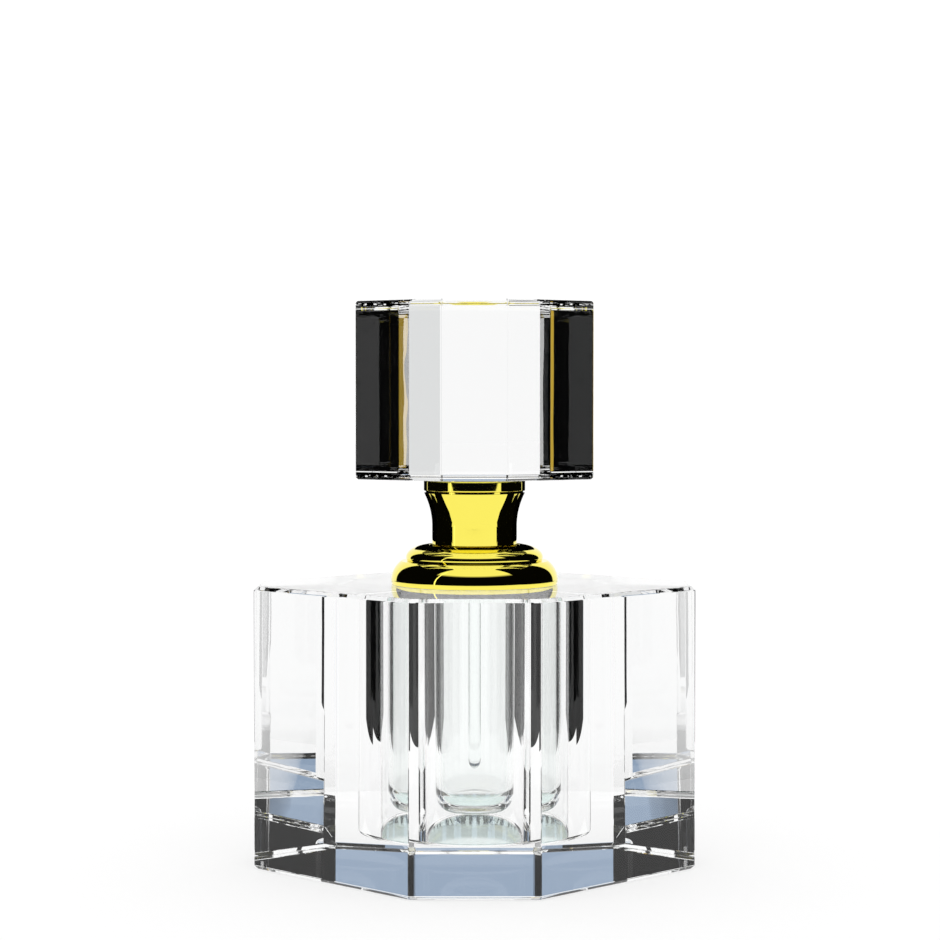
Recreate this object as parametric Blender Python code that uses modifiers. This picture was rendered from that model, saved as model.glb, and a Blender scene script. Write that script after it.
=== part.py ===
"""Cut-crystal perfume bottle with a lift-off dabber stopper.

A faceted crystal block is drilled from the top, and a small glass vial hangs in the drilling from a
two-tier gold collar. The stopper is a waisted gold cap with a crystal finial on top and a glass rod
below, which reaches down into the vial. The stopper lifts straight up and turns on the Z axis.

Metres, +Z up. The origin is the centre of the block's bottom face, and the front is -Y.
"""
import math

import bmesh
import bpy

MM = 0.001

# Crystal block: an eight-sided prism, long side across the front.
BLOCK_WIDTH = 60.0 * MM
BLOCK_DEPTH = 48.0 * MM
BLOCK_HEIGHT = 38.6 * MM
FRONT_FACE = 17.0 * MM
SIDE_FACE = 10.0 * MM
BLOCK_PLAN = (BLOCK_WIDTH, BLOCK_DEPTH, FRONT_FACE, SIDE_FACE)
BLOCK_CHAMFER = 0.5 * MM
BORE_RADIUS = 10.2 * MM
BORE_FLOOR_Z = 5.0 * MM

# Crystal finial: a smaller eight-sided prism with wider side faces for its size.
FINIAL_WIDTH = 32.2 * MM
FINIAL_DEPTH = 24.8 * MM
FINIAL_FRONT_FACE = 9.0 * MM
FINIAL_SIDE_FACE = 10.2 * MM
FINIAL_PLAN = (FINIAL_WIDTH, FINIAL_DEPTH, FINIAL_FRONT_FACE, FINIAL_SIDE_FACE)
FINIAL_HEIGHT = 24.2 * MM
FINIAL_CHAMFER = 0.3 * MM

# Pieces that touch on the real bottle are this far apart.
GAP = 0.3 * MM
PLUG_CLEARANCE = 0.15 * MM

# Small broken edges, and the share of a wall that a domed shell loses at its crown.
SMALL_EDGE = 0.15 * MM
INNER_SHARE = 0.4

# Collar: two gold tiers round the vial's shoulder.
COLLAR_RADIUS = 11.5 * MM
COLLAR_BASE_HEIGHT = 2.9 * MM
COLLAR_WALL = 0.5 * MM
COLLAR_MOUTH_RADIUS = 7.4 * MM
COLLAR_CROWN = 8.0 * MM
COLLAR_RISE = 3.4 * MM
COLLAR_FOOT = 0.2 * MM
RING_RADIUS = 9.45 * MM
RING_HEIGHT = 1.9 * MM
RING_SEAT_RADIUS = 4.9 * MM
RING_SEAT_HEIGHT = 1.4 * MM
RING_CROWN = 6.4 * MM
RING_LIP = 0.25 * MM

# Glass vial.
VIAL_RADIUS = 8.1 * MM
VIAL_WALL = 1.1 * MM
VIAL_BOTTOM_Z = 8.4 * MM
VIAL_FLOOR = 1.4 * MM
VIAL_HEEL = 2.5 * MM
VIAL_BODY_TOP_Z = 38.9 * MM
VIAL_SHOULDER = 2.8 * MM
NECK_RADIUS = 3.9 * MM
NECK_BORE_RADIUS = 2.5 * MM
NECK_TOP_Z = 47.0 * MM
LIP_RADIUS = 4.15 * MM
LIP_HEIGHT = 0.9 * MM
NECK_EDGE = 0.3 * MM

# Plastic bush that centres the vial inside the collar.
BUSH_FLANGE_RADIUS = 10.5 * MM
BUSH_FLANGE = 0.6 * MM
BUSH_SLEEVE_RADIUS = 9.3 * MM

# Gold cap.
CAP_BOTTOM_RADIUS = 5.8 * MM
CAP_WAIST_RADIUS = 5.95 * MM
CAP_FLARE_RADIUS = 6.93 * MM
CAP_WAIST_HEIGHT = 3.5 * MM
CAP_HEIGHT = 7.35 * MM
CAP_WALL = 0.5 * MM
CAP_EDGE = 0.3 * MM
INSIDE_CORNER = 0.4 * MM
DISC_RADIUS = 6.97 * MM
DISC_HEIGHT = 1.4 * MM
DISC_EDGE = 0.12 * MM

# Parts of the stopper inside the cap.
INSERT_RADIUS = 4.95 * MM
INSERT_BORE_RADIUS = 4.45 * MM
INSERT_CROWN = 1.2 * MM
SEAL_INNER_RADIUS = 2.65 * MM
SEAL_OUTER_RADIUS = 3.65 * MM
SEAL_HEIGHT = 0.7 * MM
SEAL_CORNER = 0.2 * MM
PLUG_FLANGE_RADIUS = 3.7 * MM
PLUG_FLANGE = 0.6 * MM
PLUG_STEM_RADIUS = 1.5 * MM
PLUG_TIP_Z = 43.4 * MM
PLUG_LEAD = 0.8 * MM
PLUG_TAPER = 0.25 * MM
ROD_RADIUS = 1.25 * MM
ROD_TIP_Z = 13.6 * MM
ROD_GRIP = 3.7 * MM

# Heights that follow from the sizes above.
COLLAR_BASE_Z = BLOCK_HEIGHT + GAP
COLLAR_BASE_TOP_Z = COLLAR_BASE_Z + COLLAR_BASE_HEIGHT
RING_Z = COLLAR_BASE_TOP_Z + GAP
RING_TOP_Z = RING_Z + RING_HEIGHT
CAP_Z = RING_Z + RING_SEAT_HEIGHT + GAP
CAP_TOP_Z = CAP_Z + CAP_HEIGHT
DISC_Z = CAP_TOP_Z + GAP
DISC_TOP_Z = DISC_Z + DISC_HEIGHT
FINIAL_Z = DISC_TOP_Z + GAP
SEAL_Z = NECK_TOP_Z + GAP
PLUG_FLANGE_Z = SEAL_Z + SEAL_HEIGHT + GAP
INSERT_CEILING_Z = PLUG_FLANGE_Z + PLUG_FLANGE + GAP
INSERT_TOP_Z = INSERT_CEILING_Z + INSERT_CROWN

STEPS = 48
MERGE = 0.00001

CRYSTAL = (0.97, 0.98, 0.98)
CLEAR_GLASS = (0.94, 0.97, 0.96)
GOLD = (0.94, 0.76, 0.26)
WHITE_PLASTIC = (0.90, 0.90, 0.88)
CLEAR_PLASTIC = (0.86, 0.88, 0.88)
SILICONE = (0.80, 0.81, 0.80)


def clear_scene():
    for item in list(bpy.data.objects):
        bpy.data.objects.remove(item, do_unlink=True)


def new_collection(name):
    group = bpy.data.collections.new(name)
    bpy.context.scene.collection.children.link(group)
    return group


def new_material(name, colour, roughness, metallic=0.0, transmission=0.0):
    material = bpy.data.materials.new(name)
    material.use_nodes = True
    shader = material.node_tree.nodes["Principled BSDF"]
    shader.inputs["Base Color"].default_value = (*colour, 1.0)
    shader.inputs["Roughness"].default_value = roughness
    shader.inputs["Metallic"].default_value = metallic
    shader.inputs["Transmission Weight"].default_value = transmission
    shader.inputs["IOR"].default_value = 1.52
    return material


def arc(centre_r, centre_z, radius_r, radius_z, start, end, count):
    """Points of an elliptical arc in the (radius, height) plane; angles in degrees from +r."""
    points = []
    for step in range(count + 1):
        angle = math.radians(start + (end - start) * step / count)
        points.append((centre_r + radius_r * math.cos(angle), centre_z + radius_z * math.sin(angle)))
    return points


def turned(name, profile, material, group, closed=True):
    """A turned piece. The profile runs down its outer side; a closed one comes back up its inside."""
    mesh = bpy.data.meshes.new(name)
    count = len(profile)
    edges = [(i, i + 1) for i in range(count - 1)]
    if closed:
        edges.append((count - 1, 0))
    mesh.from_pydata([(radius, 0.0, height) for radius, height in profile], edges, [])
    piece = bpy.data.objects.new(name, mesh)
    piece.data.materials.append(material)
    group.objects.link(piece)
    screw = piece.modifiers.new("turn", "SCREW")
    screw.axis = "Z"
    screw.steps = STEPS
    screw.render_steps = STEPS
    screw.use_merge_vertices = True
    screw.merge_threshold = MERGE
    screw.use_smooth_shade = True
    return piece


def crystal_prism(name, plan, bottom, height, chamfer, material, group):
    """An eight-sided outline, extruded, with flat chamfers round its top and bottom faces."""
    width, depth, front_face, side_face = plan
    quarter = [(front_face / 2, -depth / 2), (width / 2, -side_face / 2)]
    right = quarter + [(x, -y) for x, y in reversed(quarter)]
    outline = right + [(-x, -y) for x, y in right]

    curve = bpy.data.curves.new(name + "_outline", "CURVE")
    curve.dimensions = "2D"
    curve.fill_mode = "BOTH"
    curve.extrude = height / 2
    spline = curve.splines.new("POLY")
    spline.points.add(len(outline) - 1)
    for point, (x, y) in zip(spline.points, outline):
        point.co = (x, y, 0.0, 1.0)
    spline.use_cyclic_u = True
    guide = bpy.data.objects.new(name + "_outline", curve)
    group.objects.link(guide)
    guide.location.z = bottom + height / 2
    bpy.context.view_layer.update()

    evaluated = guide.evaluated_get(bpy.context.evaluated_depsgraph_get())
    mesh = bpy.data.meshes.new_from_object(evaluated)
    mesh.name = name
    place = guide.matrix_world.copy()
    bpy.data.objects.remove(guide, do_unlink=True)

    shape = bmesh.new()
    shape.from_mesh(mesh)
    bmesh.ops.remove_doubles(shape, verts=shape.verts, dist=MERGE)
    bmesh.ops.dissolve_limit(shape, angle_limit=math.radians(1), verts=shape.verts, edges=shape.edges)
    bmesh.ops.recalc_face_normals(shape, faces=shape.faces)
    level = [edge for edge in shape.edges if abs(edge.verts[0].co.z - edge.verts[1].co.z) < MERGE]
    bmesh.ops.bevel(shape, geom=level, offset=chamfer, offset_type="OFFSET", segments=1,
                    profile=0.5, affect="EDGES")
    shape.to_mesh(mesh)
    shape.free()

    mesh.materials.clear()
    mesh.materials.append(material)
    piece = bpy.data.objects.new(name, mesh)
    piece.matrix_world = place
    group.objects.link(piece)
    return piece


def crystal_block(material, group, cutters):
    block = crystal_prism("crystal_block", BLOCK_PLAN, 0.0, BLOCK_HEIGHT, BLOCK_CHAMFER, material, group)
    depth = BLOCK_HEIGHT - BORE_FLOOR_Z + GAP
    bpy.ops.mesh.primitive_cylinder_add(
        vertices=STEPS, radius=BORE_RADIUS, depth=depth, location=(0.0, 0.0, BORE_FLOOR_Z + depth / 2))
    drill = bpy.context.object
    drill.name = "bore_cutter"
    for other in list(drill.users_collection):
        other.objects.unlink(drill)
    cutters.objects.link(drill)
    drill.hide_render = True
    drill.display_type = "WIRE"
    cut = block.modifiers.new("bore", "BOOLEAN")
    cut.operation = "DIFFERENCE"
    cut.solver = "EXACT"
    cut.object = drill
    return block


def glass_vial(material, group):
    inner = VIAL_RADIUS - VIAL_WALL
    floor = VIAL_BOTTOM_Z + VIAL_FLOOR
    inner_heel = VIAL_HEEL - VIAL_WALL / 2
    shoulder_run = VIAL_RADIUS - NECK_RADIUS
    inner_run = inner - NECK_BORE_RADIUS
    lip_z = NECK_TOP_Z - LIP_HEIGHT / 2
    profile = arc(LIP_RADIUS - LIP_HEIGHT / 2, lip_z, LIP_HEIGHT / 2, LIP_HEIGHT / 2, 90, -60, 5)
    profile += [(NECK_RADIUS, NECK_TOP_Z - LIP_HEIGHT - NECK_EDGE)]
    profile += list(reversed(
        arc(NECK_RADIUS, VIAL_BODY_TOP_Z, shoulder_run, VIAL_SHOULDER, 0, 90, 6)))
    profile += arc(VIAL_RADIUS - VIAL_HEEL, VIAL_BOTTOM_Z + VIAL_HEEL, VIAL_HEEL, VIAL_HEEL, 0, -90, 5)
    profile += [(0.0, VIAL_BOTTOM_Z), (0.0, floor)]
    profile += arc(inner - inner_heel, floor + inner_heel, inner_heel, inner_heel, -90, 0, 4)
    profile += arc(NECK_BORE_RADIUS, VIAL_BODY_TOP_Z - INSIDE_CORNER, inner_run, VIAL_SHOULDER - VIAL_WALL,
                   0, 90, 5)
    profile += [(NECK_BORE_RADIUS, NECK_TOP_Z - NECK_EDGE), (NECK_BORE_RADIUS + NECK_EDGE, NECK_TOP_Z)]
    return turned("glass_vial", profile, material, group)


def vial_bush(material, group):
    bore = VIAL_RADIUS + GAP
    top = COLLAR_BASE_TOP_Z - COLLAR_WALL - GAP
    profile = [
        (bore, top),
        (BUSH_SLEEVE_RADIUS, top),
        (BUSH_SLEEVE_RADIUS, COLLAR_BASE_Z + BUSH_FLANGE),
        (BUSH_FLANGE_RADIUS, COLLAR_BASE_Z + BUSH_FLANGE),
        (BUSH_FLANGE_RADIUS, COLLAR_BASE_Z),
        (bore, COLLAR_BASE_Z),
    ]
    return turned("vial_bush", profile, material, group)


def collar_base(material, group):
    """The lower tier: a domed shell with a flat top and a mouth for the vial."""
    foot = COLLAR_BASE_Z + COLLAR_FOOT
    inner_rise = COLLAR_RISE - COLLAR_WALL * INNER_SHARE
    inner_top = COLLAR_BASE_TOP_Z - COLLAR_WALL
    outer_limit = math.degrees(math.asin((COLLAR_BASE_TOP_Z - SMALL_EDGE - foot) / COLLAR_RISE))
    inner_limit = math.degrees(math.asin((inner_top - foot) / inner_rise))
    bulge = COLLAR_RADIUS - COLLAR_CROWN
    outer = arc(COLLAR_CROWN, foot, bulge, COLLAR_RISE, outer_limit, 0, 9)
    inner = arc(COLLAR_CROWN, foot, bulge - COLLAR_WALL, inner_rise, 0, inner_limit, 6)
    profile = [(COLLAR_MOUTH_RADIUS, COLLAR_BASE_TOP_Z)]
    profile += [(outer[0][0] - SMALL_EDGE, COLLAR_BASE_TOP_Z)] + outer
    profile += [(COLLAR_RADIUS - SMALL_EDGE, COLLAR_BASE_Z)]
    profile += [(COLLAR_RADIUS - COLLAR_WALL, COLLAR_BASE_Z)] + inner
    profile += [(COLLAR_MOUTH_RADIUS, inner_top)]
    return turned("collar_base", profile, material, group)


def collar_ring(material, group):
    """The upper tier: a bulging ring, bored for the cap and stepped where the cap rests."""
    mouth = CAP_WAIST_RADIUS + GAP
    middle = RING_Z + SMALL_EDGE
    outer = arc(RING_CROWN, middle, RING_RADIUS - RING_CROWN, RING_TOP_Z - middle, 80, 0, 9)
    seat = RING_Z + RING_SEAT_HEIGHT
    profile = [(mouth, RING_TOP_Z - SMALL_EDGE), (mouth + RING_LIP, RING_TOP_Z)] + outer
    profile += [(RING_RADIUS - SMALL_EDGE, RING_Z), (RING_SEAT_RADIUS, RING_Z)]
    profile += [(RING_SEAT_RADIUS, seat), (mouth, seat)]
    return turned("collar_ring", profile, material, group)


def flare(height):
    """The cap's outer radius at a height above its lower edge: a slow taper, then a concave flare."""
    if height <= CAP_WAIST_HEIGHT:
        return CAP_BOTTOM_RADIUS + (CAP_WAIST_RADIUS - CAP_BOTTOM_RADIUS) * height / CAP_WAIST_HEIGHT
    share = (height - CAP_WAIST_HEIGHT) / (CAP_HEIGHT - CAP_WAIST_HEIGHT)
    return CAP_WAIST_RADIUS + (CAP_FLARE_RADIUS - CAP_WAIST_RADIUS) * share ** 2


def cap_shell(material, group):
    steps = 8
    rise = CAP_HEIGHT - CAP_WAIST_HEIGHT
    outer = [(flare(CAP_HEIGHT - rise * i / steps), CAP_TOP_Z - rise * i / steps)
             for i in range(steps + 1)]
    corner = arc(flare(CAP_EDGE) - CAP_EDGE, CAP_Z + CAP_EDGE, CAP_EDGE, CAP_EDGE, 0, -90, 3)
    inner_radius = CAP_BOTTOM_RADIUS - CAP_WALL
    ceiling = CAP_TOP_Z - CAP_WALL
    profile = [(0.0, CAP_TOP_Z)] + outer + corner
    profile += [(inner_radius, CAP_Z), (inner_radius, ceiling - INSIDE_CORNER),
                (inner_radius - INSIDE_CORNER, ceiling), (0.0, ceiling)]
    return turned("cap_shell", profile, material, group)


def cap_insert(material, group):
    """The plastic core of the cap: a cup over the vial's neck, with a socket for the plug's stem."""
    bottom = CAP_Z + GAP
    socket = PLUG_STEM_RADIUS + GAP
    profile = [
        (socket, INSERT_TOP_Z),
        (INSERT_RADIUS - INSIDE_CORNER, INSERT_TOP_Z),
        (INSERT_RADIUS, INSERT_TOP_Z - INSIDE_CORNER),
        (INSERT_RADIUS, bottom),
        (INSERT_BORE_RADIUS, bottom),
        (INSERT_BORE_RADIUS, INSERT_CEILING_Z),
        (socket, INSERT_CEILING_Z),
    ]
    return turned("cap_insert", profile, material, group)


def cap_top_disc(material, group):
    profile = [
        (0.0, DISC_TOP_Z),
        (DISC_RADIUS - DISC_EDGE, DISC_TOP_Z),
        (DISC_RADIUS, DISC_TOP_Z - DISC_EDGE),
        (DISC_RADIUS, DISC_Z + DISC_EDGE),
        (DISC_RADIUS - DISC_EDGE, DISC_Z),
        (0.0, DISC_Z),
    ]
    return turned("cap_top_disc", profile, material, group)


def stopper_plug(material, group):
    """The soft plug that seats in the vial's neck and grips the rod."""
    body = NECK_BORE_RADIUS - PLUG_CLEARANCE
    socket = ROD_RADIUS + GAP
    socket_top = PLUG_TIP_Z + ROD_GRIP + GAP
    stem_top = INSERT_TOP_Z - GAP
    profile = [
        (0.0, stem_top),
        (PLUG_STEM_RADIUS, stem_top),
        (PLUG_STEM_RADIUS, PLUG_FLANGE_Z + PLUG_FLANGE),
        (PLUG_FLANGE_RADIUS, PLUG_FLANGE_Z + PLUG_FLANGE),
        (PLUG_FLANGE_RADIUS, PLUG_FLANGE_Z),
        (body, PLUG_FLANGE_Z),
        (body, PLUG_TIP_Z + PLUG_LEAD),
        (body - PLUG_TAPER, PLUG_TIP_Z),
        (socket, PLUG_TIP_Z),
        (socket, socket_top),
        (0.0, socket_top),
    ]
    return turned("stopper_plug", profile, material, group)


def seal_ring(material, group):
    """A soft ring that the plug's flange presses on to the vial's lip."""
    half = SEAL_HEIGHT / 2
    corner = SEAL_CORNER
    profile = []
    corners = (
        (SEAL_OUTER_RADIUS - corner, half - corner, 90, 0),
        (SEAL_OUTER_RADIUS - corner, corner - half, 0, -90),
        (SEAL_INNER_RADIUS + corner, corner - half, -90, -180),
        (SEAL_INNER_RADIUS + corner, half - corner, 180, 90),
    )
    for radius, height, start, end in corners:
        profile += arc(radius, SEAL_Z + half + height, corner, corner, start, end, 2)
    return turned("seal_ring", profile, material, group)


def applicator_rod(material, group):
    top = PLUG_TIP_Z + ROD_GRIP
    tip = arc(0.0, ROD_TIP_Z + ROD_RADIUS, ROD_RADIUS, ROD_RADIUS, 0, -90, 6)
    tip[-1] = (0.0, ROD_TIP_Z)
    profile = [(0.0, top), (ROD_RADIUS - SMALL_EDGE, top), (ROD_RADIUS, top - SMALL_EDGE)] + tip
    return turned("applicator_rod", profile, material, group, closed=False)


def build():
    clear_scene()
    parts = new_collection("perfume_bottle")
    cutters = new_collection("cutters")
    crystal = new_material("crystal", CRYSTAL, 0.0, transmission=1.0)
    finial_crystal = new_material("finial_crystal", CRYSTAL, 0.0, transmission=1.0)
    vial_glass = new_material("vial_glass", CLEAR_GLASS, 0.0, transmission=1.0)
    rod_glass = new_material("rod_glass", CLEAR_GLASS, 0.02, transmission=1.0)
    collar_gold = new_material("collar_gold", GOLD, 0.06, metallic=1.0)
    ring_gold = new_material("ring_gold", GOLD, 0.06, metallic=1.0)
    cap_gold = new_material("cap_gold", GOLD, 0.05, metallic=1.0)
    disc_gold = new_material("disc_gold", GOLD, 0.05, metallic=1.0)
    bush_plastic = new_material("bush_plastic", CLEAR_PLASTIC, 0.3)
    insert_plastic = new_material("insert_plastic", WHITE_PLASTIC, 0.35)
    plug_plastic = new_material("plug_plastic", CLEAR_PLASTIC, 0.4)
    silicone = new_material("silicone", SILICONE, 0.5)

    crystal_block(crystal, parts, cutters)
    glass_vial(vial_glass, parts)
    vial_bush(bush_plastic, parts)
    collar_base(collar_gold, parts)
    collar_ring(ring_gold, parts)
    cap_shell(cap_gold, parts)
    cap_insert(insert_plastic, parts)
    stopper_plug(plug_plastic, parts)
    seal_ring(silicone, parts)
    applicator_rod(rod_glass, parts)
    cap_top_disc(disc_gold, parts)
    crystal_prism("crystal_finial", FINIAL_PLAN, FINIAL_Z, FINIAL_HEIGHT, FINIAL_CHAMFER,
                  finial_crystal, parts)


build()
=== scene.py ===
import math

import bmesh
import bpy
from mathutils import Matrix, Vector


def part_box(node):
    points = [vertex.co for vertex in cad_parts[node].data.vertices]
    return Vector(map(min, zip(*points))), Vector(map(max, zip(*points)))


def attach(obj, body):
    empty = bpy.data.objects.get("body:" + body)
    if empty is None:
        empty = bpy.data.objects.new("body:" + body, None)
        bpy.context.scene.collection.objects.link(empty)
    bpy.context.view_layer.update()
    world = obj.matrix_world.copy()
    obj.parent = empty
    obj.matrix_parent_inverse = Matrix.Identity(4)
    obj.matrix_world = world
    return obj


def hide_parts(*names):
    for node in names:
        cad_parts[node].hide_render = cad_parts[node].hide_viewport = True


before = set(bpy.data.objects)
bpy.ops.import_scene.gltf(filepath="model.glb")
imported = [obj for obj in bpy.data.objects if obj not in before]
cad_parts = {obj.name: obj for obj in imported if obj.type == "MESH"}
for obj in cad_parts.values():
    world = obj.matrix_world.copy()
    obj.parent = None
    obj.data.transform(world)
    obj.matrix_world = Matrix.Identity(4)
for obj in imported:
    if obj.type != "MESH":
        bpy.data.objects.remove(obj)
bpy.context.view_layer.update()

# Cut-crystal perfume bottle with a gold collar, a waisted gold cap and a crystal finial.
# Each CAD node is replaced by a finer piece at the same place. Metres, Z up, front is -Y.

MM = 0.001
SEGMENTS = 192
MERGE = 0.000001
FLAT_LIMIT = math.radians(32)
SUPPORT = 0.05 * MM       # how far a supporting ring of points is from a rounded corner

# Camera: its place in front of the axis, its pitch and its lens.
CAMERA_DISTANCE = 303.0 * MM
CAMERA_HEIGHT = 63.9 * MM
CAMERA_OFFSET = -0.62 * MM
CAMERA_PITCH = math.radians(1.82)
CAMERA_LENS = 84.26
SENSOR = 36.0

SIDES = (("left", -1), ("right", 1))

# Light levels and colours of the stage.
WHITE = 1.12
GLASS_WHITE = 1.03
STRIP_WHITE = 1.6
PURE_WHITE = (1.0, 1.0, 1.0)
BLUE_GREY = (0.31, 0.40, 0.53)
PALE_GREY = (0.79, 0.80, 0.80)
AMBER = (0.52, 0.35, 0.045)
CHARCOAL = (0.012, 0.012, 0.014)
BLACK = (0.0015, 0.0015, 0.0015)

# The white table, and the lit patch of it under the block.
TABLE_Z = -0.05 * MM
TABLE_FRONT = 0.82
TABLE_REACH = 3.0
TABLE_COLOUR = 0.30
PATCH_X = 0.031
PATCH_Y = 0.025

# Black flags at both sides.
FLAG_X = 0.088
FLAG_FRONT = -0.05
FLAG_BACK = 0.08
FLAG_HEIGHT = 0.30

# Black blinds behind the cap, in plan from start to end, for the right side.
BLIND_START = (8.8 * MM, 0.0)
BLIND_END = (3.0 * MM, 36.0 * MM)
BLIND_LOW = 44.2 * MM
BLIND_HIGH = 53.4 * MM

# Decks just over the block. The edge between black and white, for the right side.
DECK_Z = 38.66 * MM
DECK_BACK = 6.0 * MM
DECK_EDGE = (
    (17.0 * MM, 0.0),
    (21.0 * MM, -4.5 * MM),
    (26.0 * MM, -12.0 * MM),
    (45.0 * MM, -26.0 * MM),
    (88.0 * MM, -46.0 * MM),
)

# Dark screens behind the block.
SCREEN_Y = 0.095
SCREEN_NEAR = 0.0135
SCREEN_FAR = 0.034
SCREEN_LOW = 0.029
SCREEN_HIGH = 0.0495

# Small cards: start and end in plan, then the lowest and highest height.
AMBER_CARD = ((-0.086, -0.026), (-0.086, -0.002), 0.045, 0.085)
PALE_CARD = ((0.009, 0.060), (0.036, 0.060), 0.046, 0.090)
STRIP_CARD = ((-0.255, -0.168), (-0.249, -0.177), 0.0, 0.5)

# The room, as start and end of each change. Heights are sines of the elevation.
BEHIND = (-0.02, 0.02)
OVERHEAD_GLASS = (0.80, 0.86)
OVERHEAD_GOLD = (0.62, 0.72)
BAND_BOTTOM = (0.125, 0.15)
BAND_TOP = (0.45, 0.55)
BAND_COLOURS = ((0.045, 0.06, CHARCOAL), (0.28, 0.30, BLUE_GREY), (0.40, 0.44, CHARCOAL))

# Fine texture of the materials.
CORD_SCALE = 90.0
WAVE_SCALE = 160.0
WAVE_STRENGTH = 0.05
WAVE_HEIGHT = 0.04 * MM
GOLD_PATCH_SCALE = 140.0
GOLD_ROUGHNESS = (0.01, 0.035)
GRAIN_SCALE = 2500.0
GRAIN_STRENGTH = 0.2
GRAIN_HEIGHT = 0.02 * MM
GRAIN_ROUGHNESS = (0.8, 1.2)
CLOUD_SCALE = 200.0
CLOUD_SHADE = 0.94
PLASTIC_IOR = 1.49

# Crystal.
EDGE_POLISH = 0.09 * MM
BLOCK_FACES = (17.0 * MM, 10.0 * MM)
FINIAL_FACES = (9.0 * MM, 10.2 * MM)
BLOCK_CHAMFER = 0.5 * MM
FINIAL_CHAMFER = 0.3 * MM
BORE_RADIUS = 10.2 * MM
BORE_FLOOR = 5.0 * MM
BORE_CORNER = 0.5 * MM
BORE_MOUTH = 0.25 * MM
CRYSTAL_IOR = 1.518
GLASS_IOR = 1.50


def scene_settings():
    scene = bpy.context.scene
    scene.view_settings.view_transform = "Standard"
    scene.cycles.max_bounces = 32
    scene.cycles.transmission_bounces = 32
    scene.cycles.glossy_bounces = 16
    scene.cycles.transparent_max_bounces = 16


# ---------------------------------------------------------------- node helpers

def new_material(name):
    material = bpy.data.materials.new(name)
    material.use_nodes = True
    return material, material.node_tree.nodes, material.node_tree.links


def noise(nodes, links, scale, detail, vector):
    texture = nodes.new("ShaderNodeTexNoise")
    texture.inputs["Scale"].default_value = scale
    texture.inputs["Detail"].default_value = detail
    links.new(vector, texture.inputs["Vector"])
    return texture.outputs["Fac"]


def ramp(nodes, links, value, low, high):
    """low where the value is 0 and high where it is 1."""
    node = nodes.new("ShaderNodeMapRange")
    node.inputs["To Min"].default_value = low
    node.inputs["To Max"].default_value = high
    links.new(value, node.inputs["Value"])
    return node.outputs["Result"]


def step_node(nodes, links, value, limits):
    """0 below the first limit and 1 above the second."""
    node = nodes.new("ShaderNodeMapRange")
    node.inputs["From Min"].default_value = limits[0]
    node.inputs["From Max"].default_value = limits[1]
    links.new(value, node.inputs["Value"])
    return node.outputs["Result"]


def mix_node(nodes, links, factor, first, second):
    """A colour mix; each input is a colour or another node's output."""
    mix = nodes.new("ShaderNodeMix")
    mix.data_type = "RGBA"
    links.new(factor, mix.inputs["Factor"])
    for socket, colour in (("A", first), ("B", second)):
        if isinstance(colour, tuple):
            mix.inputs[socket].default_value = (*colour, 1.0)
        else:
            links.new(colour, mix.inputs[socket])
    return mix.outputs["Result"]


def bump(nodes, links, height, strength, distance):
    node = nodes.new("ShaderNodeBump")
    node.inputs["Strength"].default_value = strength
    node.inputs["Distance"].default_value = distance
    links.new(height, node.inputs["Height"])
    return node.outputs["Normal"]


def object_coordinates(nodes):
    return nodes.new("ShaderNodeTexCoord").outputs["Object"]


# ---------------------------------------------------------------- materials

def glass_material(name, ior, tint, pale_tint):
    """Polished glass: almost colourless, with faint cords in the melt and a slightly wavy polish."""
    material, nodes, links = new_material(name)
    shader = nodes["Principled BSDF"]
    shader.inputs["Transmission Weight"].default_value = 1.0
    shader.inputs["Roughness"].default_value = 0.0
    shader.inputs["IOR"].default_value = ior
    place = object_coordinates(nodes)
    cords = noise(nodes, links, CORD_SCALE, 2.0, place)
    links.new(mix_node(nodes, links, cords, tint, pale_tint), shader.inputs["Base Color"])
    waves = noise(nodes, links, WAVE_SCALE, 1.0, place)
    links.new(bump(nodes, links, waves, WAVE_STRENGTH, WAVE_HEIGHT), shader.inputs["Normal"])
    return material


def gold_material(name, base, deep):
    """Polished gold plate over turned brass, a little uneven in colour and polish."""
    material, nodes, links = new_material(name)
    shader = nodes["Principled BSDF"]
    shader.inputs["Metallic"].default_value = 1.0
    place = object_coordinates(nodes)
    patches = noise(nodes, links, GOLD_PATCH_SCALE, 3.0, place)
    links.new(mix_node(nodes, links, patches, base, deep), shader.inputs["Base Color"])
    links.new(ramp(nodes, links, patches, *GOLD_ROUGHNESS), shader.inputs["Roughness"])
    return material


def plastic_material(name, colour, roughness, transmission=0.0):
    """Moulded plastic with a fine matt grain."""
    material, nodes, links = new_material(name)
    shader = nodes["Principled BSDF"]
    shader.inputs["Transmission Weight"].default_value = transmission
    shader.inputs["IOR"].default_value = PLASTIC_IOR
    place = object_coordinates(nodes)
    grain = noise(nodes, links, GRAIN_SCALE, 3.0, place)
    cloud = noise(nodes, links, CLOUD_SCALE, 2.0, place)
    darker = tuple(value * CLOUD_SHADE for value in colour)
    links.new(mix_node(nodes, links, cloud, colour, darker), shader.inputs["Base Color"])
    spread = [roughness * share for share in GRAIN_ROUGHNESS]
    links.new(ramp(nodes, links, grain, *spread), shader.inputs["Roughness"])
    links.new(bump(nodes, links, grain, GRAIN_STRENGTH, GRAIN_HEIGHT), shader.inputs["Normal"])
    return material


# ---------------------------------------------------------------- mesh helpers

def arc(centre_r, centre_z, radius_r, radius_z, start, end, count):
    """Points of an elliptical arc in the (radius, height) plane; angles in degrees from +r."""
    points = []
    for step in range(count + 1):
        angle = math.radians(start + (end - start) * step / count)
        points.append((centre_r + radius_r * math.cos(angle), centre_z + radius_z * math.sin(angle)))
    return points


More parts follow.
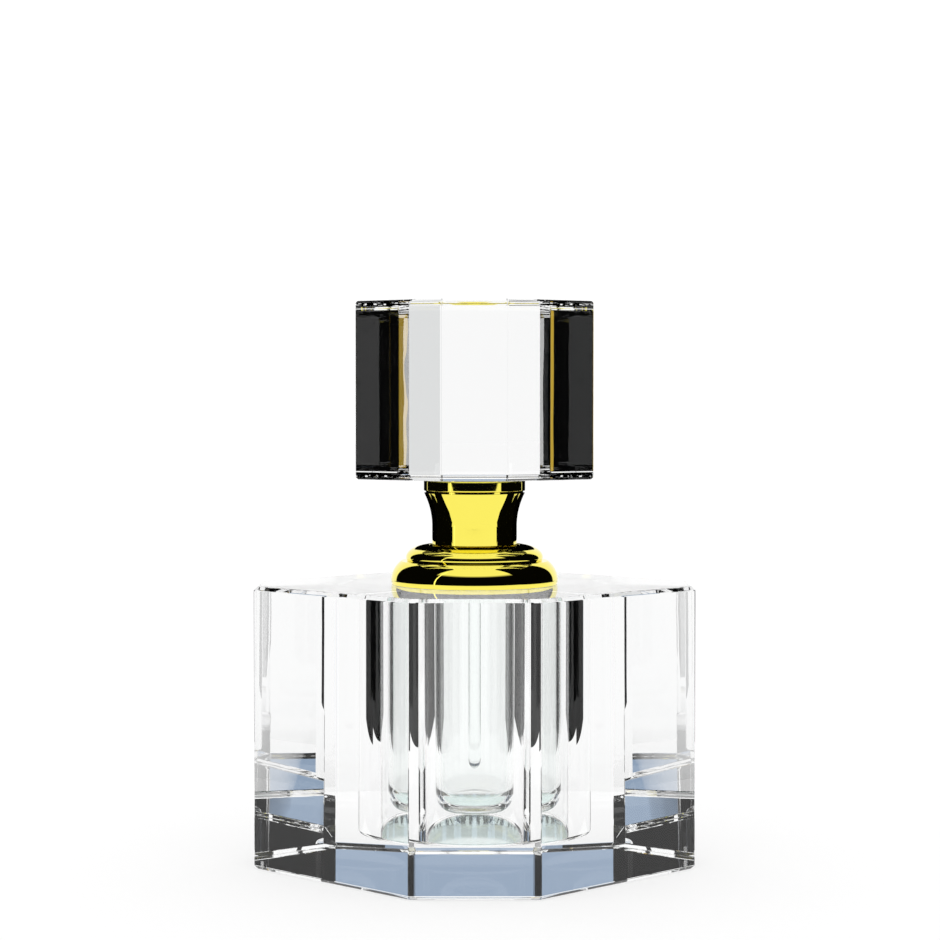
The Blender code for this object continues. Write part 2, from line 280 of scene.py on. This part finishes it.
def turned_mesh(name, profile, closed=True):
    """A mesh of revolution about Z. Points at radius 0 become one vertex each."""
    mesh = bpy.data.meshes.new(name)
    shape = bmesh.new()
    rings = []
    for radius, height in profile:
        if radius < MERGE:
            rings.append([shape.verts.new((0.0, 0.0, height))])
            continue
        ring = []
        for step in range(SEGMENTS):
            angle = 2 * math.pi * step / SEGMENTS
            ring.append(shape.verts.new((radius * math.cos(angle), radius * math.sin(angle), height)))
        rings.append(ring)
    pairs = list(zip(rings, rings[1:]))
    if closed:
        pairs.append((rings[-1], rings[0]))
    for upper, lower in pairs:
        if len(upper) == 1 and len(lower) == 1:
            continue
        for step in range(SEGMENTS):
            after = (step + 1) % SEGMENTS
            corners = [upper[step % len(upper)], lower[step % len(lower)],
                       lower[after % len(lower)], upper[after % len(upper)]]
            shape.faces.new(list(dict.fromkeys(corners)))
    bmesh.ops.recalc_face_normals(shape, faces=shape.faces)
    for face in shape.faces:
        face.smooth = True
    shape.to_mesh(mesh)
    shape.free()
    mesh.set_sharp_from_angle(angle=FLAT_LIMIT)
    return mesh


def prism_mesh(name, low, high, front, side, chamfer):
    """An upright eight-sided prism in the box low to high, chamfered, with finely polished edges."""
    centre = (low + high) / 2
    half_width = (high.x - low.x) / 2
    half_depth = (high.y - low.y) / 2
    quarter = [(front / 2, -half_depth), (half_width, -side / 2)]
    right = quarter + [(x, -y) for x, y in reversed(quarter)]
    outline = right + [(-x, -y) for x, y in right]
    shape = bmesh.new()
    bottom = [shape.verts.new((centre.x + x, centre.y + y, low.z)) for x, y in outline]
    top = [shape.verts.new((centre.x + x, centre.y + y, high.z)) for x, y in outline]
    shape.faces.new(bottom)
    shape.faces.new(top)
    count = len(outline)
    for i in range(count):
        shape.faces.new((bottom[i], bottom[(i + 1) % count], top[(i + 1) % count], top[i]))
    bmesh.ops.recalc_face_normals(shape, faces=shape.faces)
    level = [e for e in shape.edges if abs(e.verts[0].co.z - e.verts[1].co.z) < MERGE]
    bmesh.ops.bevel(shape, geom=level, offset=chamfer, offset_type="OFFSET", segments=1,
                    profile=0.5, affect="EDGES")
    bmesh.ops.bevel(shape, geom=list(shape.edges), offset=EDGE_POLISH, offset_type="OFFSET",
                    segments=2, profile=0.5, affect="EDGES")
    mesh = bpy.data.meshes.new(name)
    shape.to_mesh(mesh)
    shape.free()
    return mesh


def cut_away(mesh, tool_mesh):
    """The mesh with the tool's solid taken out of it."""
    body = bpy.data.objects.new("cut_body", mesh)
    tool = bpy.data.objects.new("cut_tool", tool_mesh)
    for item in (body, tool):
        bpy.context.scene.collection.objects.link(item)
    cut = body.modifiers.new("cut", "BOOLEAN")
    cut.operation = "DIFFERENCE"
    cut.solver = "EXACT"
    cut.object = tool
    bpy.context.view_layer.update()
    evaluated = body.evaluated_get(bpy.context.evaluated_depsgraph_get())
    result = bpy.data.meshes.new_from_object(evaluated)
    for item in (body, tool):
        bpy.data.objects.remove(item, do_unlink=True)
    return result


def add_piece(name, mesh, material, body, node, weighted=True):
    mesh.name = name
    mesh.materials.clear()
    mesh.materials.append(material)
    piece = bpy.data.objects.new(name, mesh)
    bpy.context.scene.collection.objects.link(piece)
    if weighted:
        smooth = piece.modifiers.new("even_normals", "WEIGHTED_NORMAL")
        smooth.keep_sharp = True
    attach(piece, body)
    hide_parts(node)
    return piece


# ---------------------------------------------------------------- crystal pieces

def crystal_block(material, floor_material):
    low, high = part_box("crystal_block")
    mesh = prism_mesh("block", low, high, *BLOCK_FACES, BLOCK_CHAMFER)
    over = 1.0 * MM
    above = high.z + over
    corner = BORE_CORNER
    profile = [(0.0, above), (BORE_RADIUS + BORE_MOUTH + over, above), (BORE_RADIUS, high.z - BORE_MOUTH)]
    profile += arc(BORE_RADIUS - corner, BORE_FLOOR + corner, corner, corner, 0, -90, 6)
    profile += [(0.0, BORE_FLOOR)]
    mesh = cut_away(mesh, turned_mesh("bore", profile))
    piece = add_piece("crystal_body", mesh, material, "bottle", "crystal_block", weighted=False)
    mesh.materials.append(floor_material)
    for face in mesh.polygons:
        heights = [mesh.vertices[i].co.z for i in face.vertices]
        if max(heights) < BORE_FLOOR + MERGE and min(heights) > BORE_FLOOR - MERGE:
            face.material_index = 1
    return piece


def crystal_finial(material):
    low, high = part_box("crystal_finial")
    mesh = prism_mesh("finial", low, high, *FINIAL_FACES, FINIAL_CHAMFER)
    return add_piece("crystal_top", mesh, material, "stopper", "crystal_finial",
                     weighted=False)


# ---------------------------------------------------------------- glass pieces

def vial(material):
    low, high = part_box("glass_vial")
    radius = 8.1 * MM
    wall = 1.1 * MM
    heel = 2.5 * MM
    neck = 3.9 * MM
    neck_top = high.z - 1.2 * MM
    bore = 2.5 * MM
    floor = low.z + 1.4 * MM
    body_top = 38.9 * MM
    inner_top = body_top - 0.4 * MM
    shoulder = 2.8 * MM
    lip = 0.45 * MM
    lip_radius = 4.15 * MM
    mouth = 0.3 * MM
    inner = radius - wall
    inner_heel = heel - wall / 2
    profile = arc(lip_radius - lip, high.z - lip, lip, lip, 90, -60, 12)
    profile += [(neck, neck_top)]
    profile += list(reversed(arc(neck, body_top, radius - neck, shoulder, 0, 90, 16)))
    profile += arc(radius - heel, low.z + heel, heel, heel, 0, -90, 16)
    profile += [(0.0, low.z), (0.0, floor)]
    profile += arc(inner - inner_heel, floor + inner_heel, inner_heel, inner_heel, -90, 0, 14)
    profile += arc(bore, inner_top, inner - bore, shoulder - wall, 0, 90, 14)
    profile += arc(bore + mouth, high.z - mouth, mouth, mouth, 180, 90, 6)
    return add_piece("vial", turned_mesh("vial", profile), material, "bottle", "glass_vial")


def rod(material):
    low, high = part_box("applicator_rod")
    radius = high.x
    edge = 0.15 * MM
    profile = [(0.0, high.z)]
    profile += arc(radius - edge, high.z - edge, edge, edge, 90, 0, 4)
    profile += arc(0.0, low.z + radius, radius, radius, 0, -90, 14)
    return add_piece("dabber_rod", turned_mesh("rod", profile, closed=False), material,
                     "stopper", "applicator_rod")


# ---------------------------------------------------------------- gold pieces

def lower_tier(material):
    low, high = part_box("collar_base")
    crown = 8.0 * MM
    foot = low.z + 0.2 * MM
    rise = 3.4 * MM
    wall = 0.5 * MM
    edge = 0.15 * MM
    mouth = 7.4 * MM
    base = 38.62 * MM
    inner_rise = 3.2 * MM
    land = 0.2 * MM
    draft = 0.1 * MM
    radius = high.x
    limit = math.degrees(math.asin((high.z - edge - foot) / rise))
    outer = arc(crown, foot, radius - crown, rise, limit, 0, 28)
    inner_limit = math.degrees(math.asin((high.z - wall - foot) / inner_rise))
    inner = arc(crown, foot, radius - crown - wall, inner_rise, 0, inner_limit, 16)
    profile = [(mouth, high.z), (outer[0][0] - land, high.z)] + outer
    profile += [(radius - draft, base), (radius - wall, base)] + inner
    profile += [(mouth, high.z - wall)]
    return add_piece("collar_lower", turned_mesh("collar_lower", profile), material,
                     "bottle", "collar_base")


def upper_tier(material):
    low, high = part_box("collar_ring")
    mouth = 6.2 * MM
    bore = 4.9 * MM
    edge = 0.15 * MM
    lip = 0.12 * MM
    middle = low.z + edge
    crown = 6.4 * MM
    crown_angle = 86
    radius = high.x
    outer = arc(crown, middle, radius - crown, high.z - middle, crown_angle, 0, 28)
    seat = low.z + 1.4 * MM
    foot = 41.82 * MM
    profile = arc(mouth + lip, high.z - lip, lip, lip, 180, 90, 4)
    profile += outer + [(radius - edge, foot), (bore, foot), (bore, seat), (mouth, seat)]
    return add_piece("collar_upper", turned_mesh("collar_upper", profile), material,
                     "bottle", "collar_ring")


def cap(material):
    low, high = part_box("cap_shell")
    waist = 5.83 * MM
    waist_top = 46.5 * MM
    rise = high.z - waist_top
    flare = 2.1
    corner = 0.3 * MM
    outer = []
    count = 32
    for i in range(count + 1):
        share = 1 - i / count
        outer.append((waist + (high.x - waist) * share ** flare, waist_top + rise * share))
    foot = [(waist, waist_top - SUPPORT), (waist, low.z + corner + SUPPORT)]
    foot += arc(waist - corner, low.z + corner, corner, corner, 0, -90, 6)
    inner = 5.3 * MM
    inner_corner = 0.4 * MM
    ceiling = high.z - 0.5 * MM
    land = 6.7 * MM
    top = 51.43 * MM
    profile = [(0.0, top), (land, top), (land, high.z)] + outer + foot
    profile += [(inner, low.z), (inner, ceiling - inner_corner)]
    profile += arc(inner - inner_corner, ceiling - inner_corner, inner_corner, inner_corner, 0, 90, 4)
    profile += [(0.0, ceiling)]
    return add_piece("cap_sleeve", turned_mesh("cap_sleeve", profile), material,
                     "stopper", "cap_shell")


def rim(material):
    low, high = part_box("cap_top_disc")
    radius = high.x
    edge = 0.12 * MM
    land = radius - 0.8 * MM
    top = 53.12 * MM
    profile = [(0.0, top), (land, top), (land, high.z)]
    profile += arc(radius - edge, high.z - edge, edge, edge, 90, 0, 6)
    profile += [(radius, high.z - edge - SUPPORT), (radius, low.z + edge + SUPPORT)]
    profile += arc(radius - edge, low.z + edge, edge, edge, 0, -90, 6)
    profile += [(0.0, low.z)]
    return add_piece("cap_rim", turned_mesh("cap_rim", profile), material,
                     "stopper", "cap_top_disc")


# ---------------------------------------------------------------- plastic pieces

def bush(material):
    low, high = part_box("vial_bush")
    bore = 8.4 * MM
    sleeve = 9.3 * MM
    flange = 0.6 * MM
    edge = 0.1 * MM
    radius = high.x
    profile = [(bore, high.z), (sleeve - edge, high.z), (sleeve, high.z - edge)]
    profile += [(sleeve, low.z + flange), (radius - edge, low.z + flange)]
    profile += [(radius, low.z + flange - edge), (radius, low.z), (bore, low.z)]
    return add_piece("centring_bush", turned_mesh("bush", profile), material,
                     "bottle", "vial_bush")


def insert(material):
    low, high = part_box("cap_insert")
    bore = 4.45 * MM
    socket = 1.8 * MM
    ceiling = high.z - 1.2 * MM
    shoulder = 0.4 * MM
    edge = 0.1 * MM
    radius = high.x
    profile = [(socket, high.z)]
    profile += arc(radius - shoulder, high.z - shoulder, shoulder, shoulder, 90, 0, 6)
    profile += arc(radius - edge, low.z + edge, edge, edge, 0, -90, 3)
    profile += [(bore, low.z), (bore, ceiling), (socket, ceiling)]
    return add_piece("cap_liner", turned_mesh("insert", profile), material,
                     "stopper", "cap_insert")


def plug(material):
    low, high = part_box("stopper_plug")
    body = 2.35 * MM
    socket = 1.55 * MM
    socket_top = low.z + 4.0 * MM
    flange_low = 48.3 * MM
    flange_high = 48.9 * MM
    stem = 1.5 * MM
    edge = 0.1 * MM
    lead = 0.8 * MM
    taper = 0.25 * MM
    radius = high.x
    profile = [(0.0, high.z), (stem - edge, high.z), (stem, high.z - edge), (stem, flange_high)]
    profile += arc(radius - edge, flange_high - edge, edge, edge, 90, 0, 3)
    profile += arc(radius - edge, flange_low + edge, edge, edge, 0, -90, 3)
    profile += [(body, flange_low), (body, low.z + lead), (body - taper, low.z)]
    profile += [(socket, low.z), (socket, socket_top), (0.0, socket_top)]
    return add_piece("neck_plug", turned_mesh("plug", profile), material,
                     "stopper", "stopper_plug")


def seal(material):
    low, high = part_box("seal_ring")
    outer = high.x
    inner = 2.65 * MM
    middle = (low.z + high.z) / 2
    half = (high.z - low.z) / 2
    corner = 0.2 * MM
    profile = []
    corners = (
        (outer - corner, half - corner, 90, 0),
        (outer - corner, corner - half, 0, -90),
        (inner + corner, corner - half, -90, -180),
        (inner + corner, half - corner, 180, 90),
    )
    for radius, height, start, end in corners:
        profile += arc(radius, middle + height, corner, corner, start, end, 4)
    return add_piece("lip_seal", turned_mesh("seal", profile), material, "seal", "seal_ring")


# ---------------------------------------------------------------- stage

def flat_card(name, corners, material):
    mesh = bpy.data.meshes.new(name)
    mesh.from_pydata(corners, [], [tuple(range(len(corners)))])
    mesh.materials.append(material)
    card = bpy.data.objects.new(name, mesh)
    bpy.context.scene.collection.objects.link(card)
    return card


def level_card(name, reach, front, back, z, material):
    """A level card at height z, from -reach to reach across and from front to back."""
    corners = [(-reach, front, z), (reach, front, z), (reach, back, z), (-reach, back, z)]
    return flat_card(name, corners, material)


def only_for_reflections(card):
    card.visible_camera = False
    card.visible_diffuse = False
    card.visible_shadow = False


def matt_material(name, colour):
    material, nodes, _ = new_material(name)
    shader = nodes["Principled BSDF"]
    shader.inputs["Base Color"].default_value = (*colour, 1.0)
    shader.inputs["Roughness"].default_value = 1.0
    shader.inputs["Specular IOR Level"].default_value = 0.0
    return material


def lamp_material(name, colour, strength, base=0.0):
    material, nodes, _ = new_material(name)
    shader = nodes["Principled BSDF"]
    shader.inputs["Base Color"].default_value = (base, base, base, 1.0)
    shader.inputs["Specular IOR Level"].default_value = 0.0
    shader.inputs["Emission Color"].default_value = (*colour, 1.0)
    shader.inputs["Emission Strength"].default_value = strength
    return material


def table():
    """A white table that glows a little, so shadows on it are faint. Its part nearest the camera
    is left out of the reflections, and the patch under the block is lit for the glass."""
    white = lamp_material("table_white", PURE_WHITE, GLASS_WHITE - TABLE_COLOUR * WHITE, TABLE_COLOUR)
    glow = lamp_material("table_glow", PURE_WHITE, GLASS_WHITE)
    near = -TABLE_FRONT
    far = TABLE_REACH
    z = TABLE_Z
    level_card("table", far, near, far, z, white)
    front = level_card("table_front", far, -far, near, z, white)
    front.visible_glossy = False
    front.visible_transmission = False
    patch = level_card("table_patch", PATCH_X, -PATCH_Y, PATCH_Y, z / 2, glow)
    only_for_reflections(patch)
    patch.visible_glossy = False


def upright_card(name, start, end, low, high, material):
    """An upright card from start to end in plan, seen only in glass and gold."""
    card = flat_card(name, [(*start, low), (*end, low), (*end, high), (*start, high)], material)
    only_for_reflections(card)
    return card


def flags():
    """Black flags at both sides, and small black blinds behind the cap that only the gold reflects."""
    black = matt_material("flag_black", BLACK)
    for name, side in SIDES:
        x = side * FLAG_X
        upright_card("flag_" + name, (x, FLAG_FRONT), (x, FLAG_BACK), TABLE_Z, FLAG_HEIGHT, black)
        start = (side * BLIND_START[0], BLIND_START[1])
        end = (side * BLIND_END[0], BLIND_END[1])
        blind = upright_card("blind_" + name, start, end, BLIND_LOW, BLIND_HIGH, black)
        blind.visible_transmission = False


def seen_from_above(material):
    """The material as it is from above, and nothing at all from below."""
    nodes = material.node_tree.nodes
    links = material.node_tree.links
    shader = nodes["Principled BSDF"]
    side = nodes.new("ShaderNodeNewGeometry")
    clear = nodes.new("ShaderNodeBsdfTransparent")
    choose = nodes.new("ShaderNodeMixShader")
    links.new(side.outputs["Backfacing"], choose.inputs[0])
    links.new(shader.outputs["BSDF"], choose.inputs[1])
    links.new(clear.outputs["BSDF"], choose.inputs[2])
    links.new(choose.outputs["Shader"], nodes["Material Output"].inputs["Surface"])
    return material


def decks():
    """Cards just over the block, seen only by the gold: black at both sides, white in front."""
    black = seen_from_above(matt_material("deck_black", BLACK))
    white = seen_from_above(lamp_material("deck_white", PURE_WHITE, GLASS_WHITE))
    right = [(x, y, DECK_Z) for x, y in DECK_EDGE]
    left = [(-x, y, z) for x, y, z in right]
    inner = DECK_EDGE[0][0]
    outer = DECK_EDGE[-1][0]
    cards = (
        ("deck_right", right + [(outer, DECK_BACK, DECK_Z), (inner, DECK_BACK, DECK_Z)], black),
        ("deck_left", [(-inner, DECK_BACK, DECK_Z), (-outer, DECK_BACK, DECK_Z)] + left[::-1], black),
        ("deck_front", left + right[::-1], white),
    )
    for name, corners, material in cards:
        card = flat_card(name, corners, material)
        only_for_reflections(card)
        card.visible_transmission = False


def small_cards():
    """Amber and pale grey cards that colour the finial's left side, dark screens for the block's
    lower corners, and a narrow strip light that shows as a thin line on the gold."""
    only_in_glass = [
        upright_card("amber_card", *AMBER_CARD, lamp_material("amber_card", AMBER, 1.0)),
        upright_card("pale_card", *PALE_CARD, lamp_material("pale_card", PALE_GREY, 1.0)),
    ]
    black = matt_material("screen_black", BLACK)
    for name, side in SIDES:
        start = (side * SCREEN_NEAR, SCREEN_Y)
        end = (side * SCREEN_FAR, SCREEN_Y)
        only_in_glass.append(upright_card("screen_" + name, start, end, SCREEN_LOW, SCREEN_HIGH, black))
    for card in only_in_glass:
        card.visible_glossy = False
    strip = upright_card("strip_light", *STRIP_CARD, lamp_material("strip_light", PURE_WHITE, STRIP_WHITE))
    strip.visible_transmission = False


def room():
    """White all round for the eye and the table. For glass and gold, dark in front and white
    behind and overhead; the glass also sees a blue-grey band low on the backdrop."""
    world = bpy.data.worlds.new("room")
    bpy.context.scene.world = world
    world.cycles.sampling_method = "NONE"
    world.use_nodes = True
    nodes = world.node_tree.nodes
    links = world.node_tree.links
    nodes.clear()
    white = (GLASS_WHITE, GLASS_WHITE, GLASS_WHITE)
    direction = nodes.new("ShaderNodeTexCoord")
    split = nodes.new("ShaderNodeSeparateXYZ")
    links.new(direction.outputs["Generated"], split.inputs["Vector"])
    depth = split.outputs["Y"]
    height = split.outputs["Z"]
    across = nodes.new("ShaderNodeMath")
    across.operation = "ABSOLUTE"
    links.new(split.outputs["X"], across.inputs[0])
    band = BLUE_GREY
    for start, end, colour in BAND_COLOURS:
        edge = step_node(nodes, links, across.outputs["Value"], (start, end))
        band = mix_node(nodes, links, edge, band, colour)
    low = mix_node(nodes, links, step_node(nodes, links, height, BAND_BOTTOM), white, band)
    backdrop = mix_node(nodes, links, step_node(nodes, links, height, BAND_TOP), low, white)
    glass_front = mix_node(nodes, links, step_node(nodes, links, height, OVERHEAD_GLASS), BLACK, white)
    gold_front = mix_node(nodes, links, step_node(nodes, links, height, OVERHEAD_GOLD), BLACK, white)
    behind = step_node(nodes, links, depth, BEHIND)
    for_glass = mix_node(nodes, links, behind, glass_front, backdrop)
    for_gold = mix_node(nodes, links, behind, gold_front, white)
    path = nodes.new("ShaderNodeLightPath")
    shaped = mix_node(nodes, links, path.outputs["Is Transmission Ray"], for_gold, for_glass)
    either = nodes.new("ShaderNodeMath")
    either.operation = "MAXIMUM"
    links.new(path.outputs["Is Camera Ray"], either.inputs[0])
    links.new(path.outputs["Is Diffuse Ray"], either.inputs[1])
    colour = mix_node(nodes, links, either.outputs["Value"], shaped, (WHITE, WHITE, WHITE))
    background = nodes.new("ShaderNodeBackground")
    links.new(colour, background.inputs["Color"])
    output = nodes.new("ShaderNodeOutputWorld")
    links.new(background.outputs["Background"], output.inputs["Surface"])


def camera():
    data = bpy.data.cameras.new("camera")
    data.lens = CAMERA_LENS
    data.sensor_width = SENSOR
    data.clip_start = 0.01
    data.clip_end = 20.0
    item = bpy.data.objects.new("camera", data)
    item.location = (CAMERA_OFFSET, -CAMERA_DISTANCE, CAMERA_HEIGHT)
    item.rotation_euler = (math.pi / 2 - CAMERA_PITCH, 0.0, 0.0)
    bpy.context.scene.collection.objects.link(item)
    bpy.context.scene.camera = item


# ---------------------------------------------------------------- the bottle

scene_settings()
camera()
table()
flags()
decks()
small_cards()
room()

crystal = glass_material("crystal_clear", CRYSTAL_IOR, (0.985, 0.99, 0.99), (1.0, 1.0, 1.0))
crystal_floor = glass_material("crystal_floor", CRYSTAL_IOR, (0.50, 0.70, 0.66), (0.62, 0.80, 0.76))
clear_glass = glass_material("glass_clear", GLASS_IOR, (0.97, 0.985, 0.98), (0.99, 1.0, 0.995))
gold = gold_material("gold_plate", (0.96, 0.85, 0.135), (0.94, 0.82, 0.115))
clear_plastic = plastic_material("plastic_clear", (0.86, 0.88, 0.88), 0.25, 0.6)
white_plastic = plastic_material("plastic_white", (0.88, 0.88, 0.86), 0.35)
soft_plastic = plastic_material("plastic_soft", (0.84, 0.86, 0.86), 0.4, 0.4)
silicone = plastic_material("silicone_soft", (0.80, 0.81, 0.80), 0.5)

crystal_block(crystal, crystal_floor)
crystal_finial(crystal)
vial(clear_glass)
rod(clear_glass)
lower_tier(gold)
upper_tier(gold)
cap(gold)
rim(gold)
bush(clear_plastic)
insert(white_plastic)
plug(soft_plastic)
seal(silicone)
